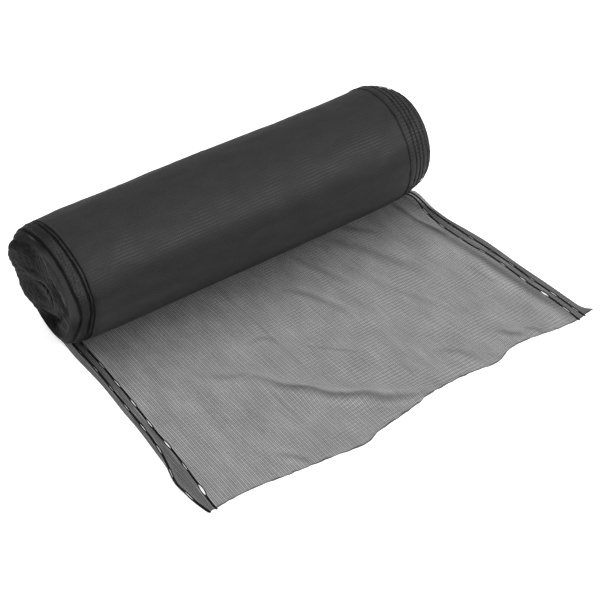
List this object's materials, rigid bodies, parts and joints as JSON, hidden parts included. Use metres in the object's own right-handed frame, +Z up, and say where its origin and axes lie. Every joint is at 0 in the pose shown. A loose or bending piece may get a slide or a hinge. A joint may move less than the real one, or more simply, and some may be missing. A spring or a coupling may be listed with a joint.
{
  "type": "roll of knitted plastic barrier netting",
  "caption": "Black knitted barrier netting on a roll, its loose end laid flat in front, with reinforced bands of slit eyelets along both long edges for ties.",
  "frame": {"origin": "middle of the flat spot on which the roll rests", "axes": "+X along the roll to its right end, -Y towards the loose end's free edge, +Z up"},
  "size_m": [1.0642, 0.8746, 0.3022],
  "materials": {
    "net": "matt black knitted polyethylene mesh, see-through in one layer",
    "band": "dense black knitted band with a slight sheen"
  },
  "bodies": {
    "root": {"net_roll": "net", "net_sheet": "net", "strip_left": "net", "strip_right": "net", "margin_left": "net", "margin_right": "net", "band_left_outer": "band", "band_left_inner": "band", "band_right_inner": "band", "band_right_outer": "band"}
  },
  "joints": []
}
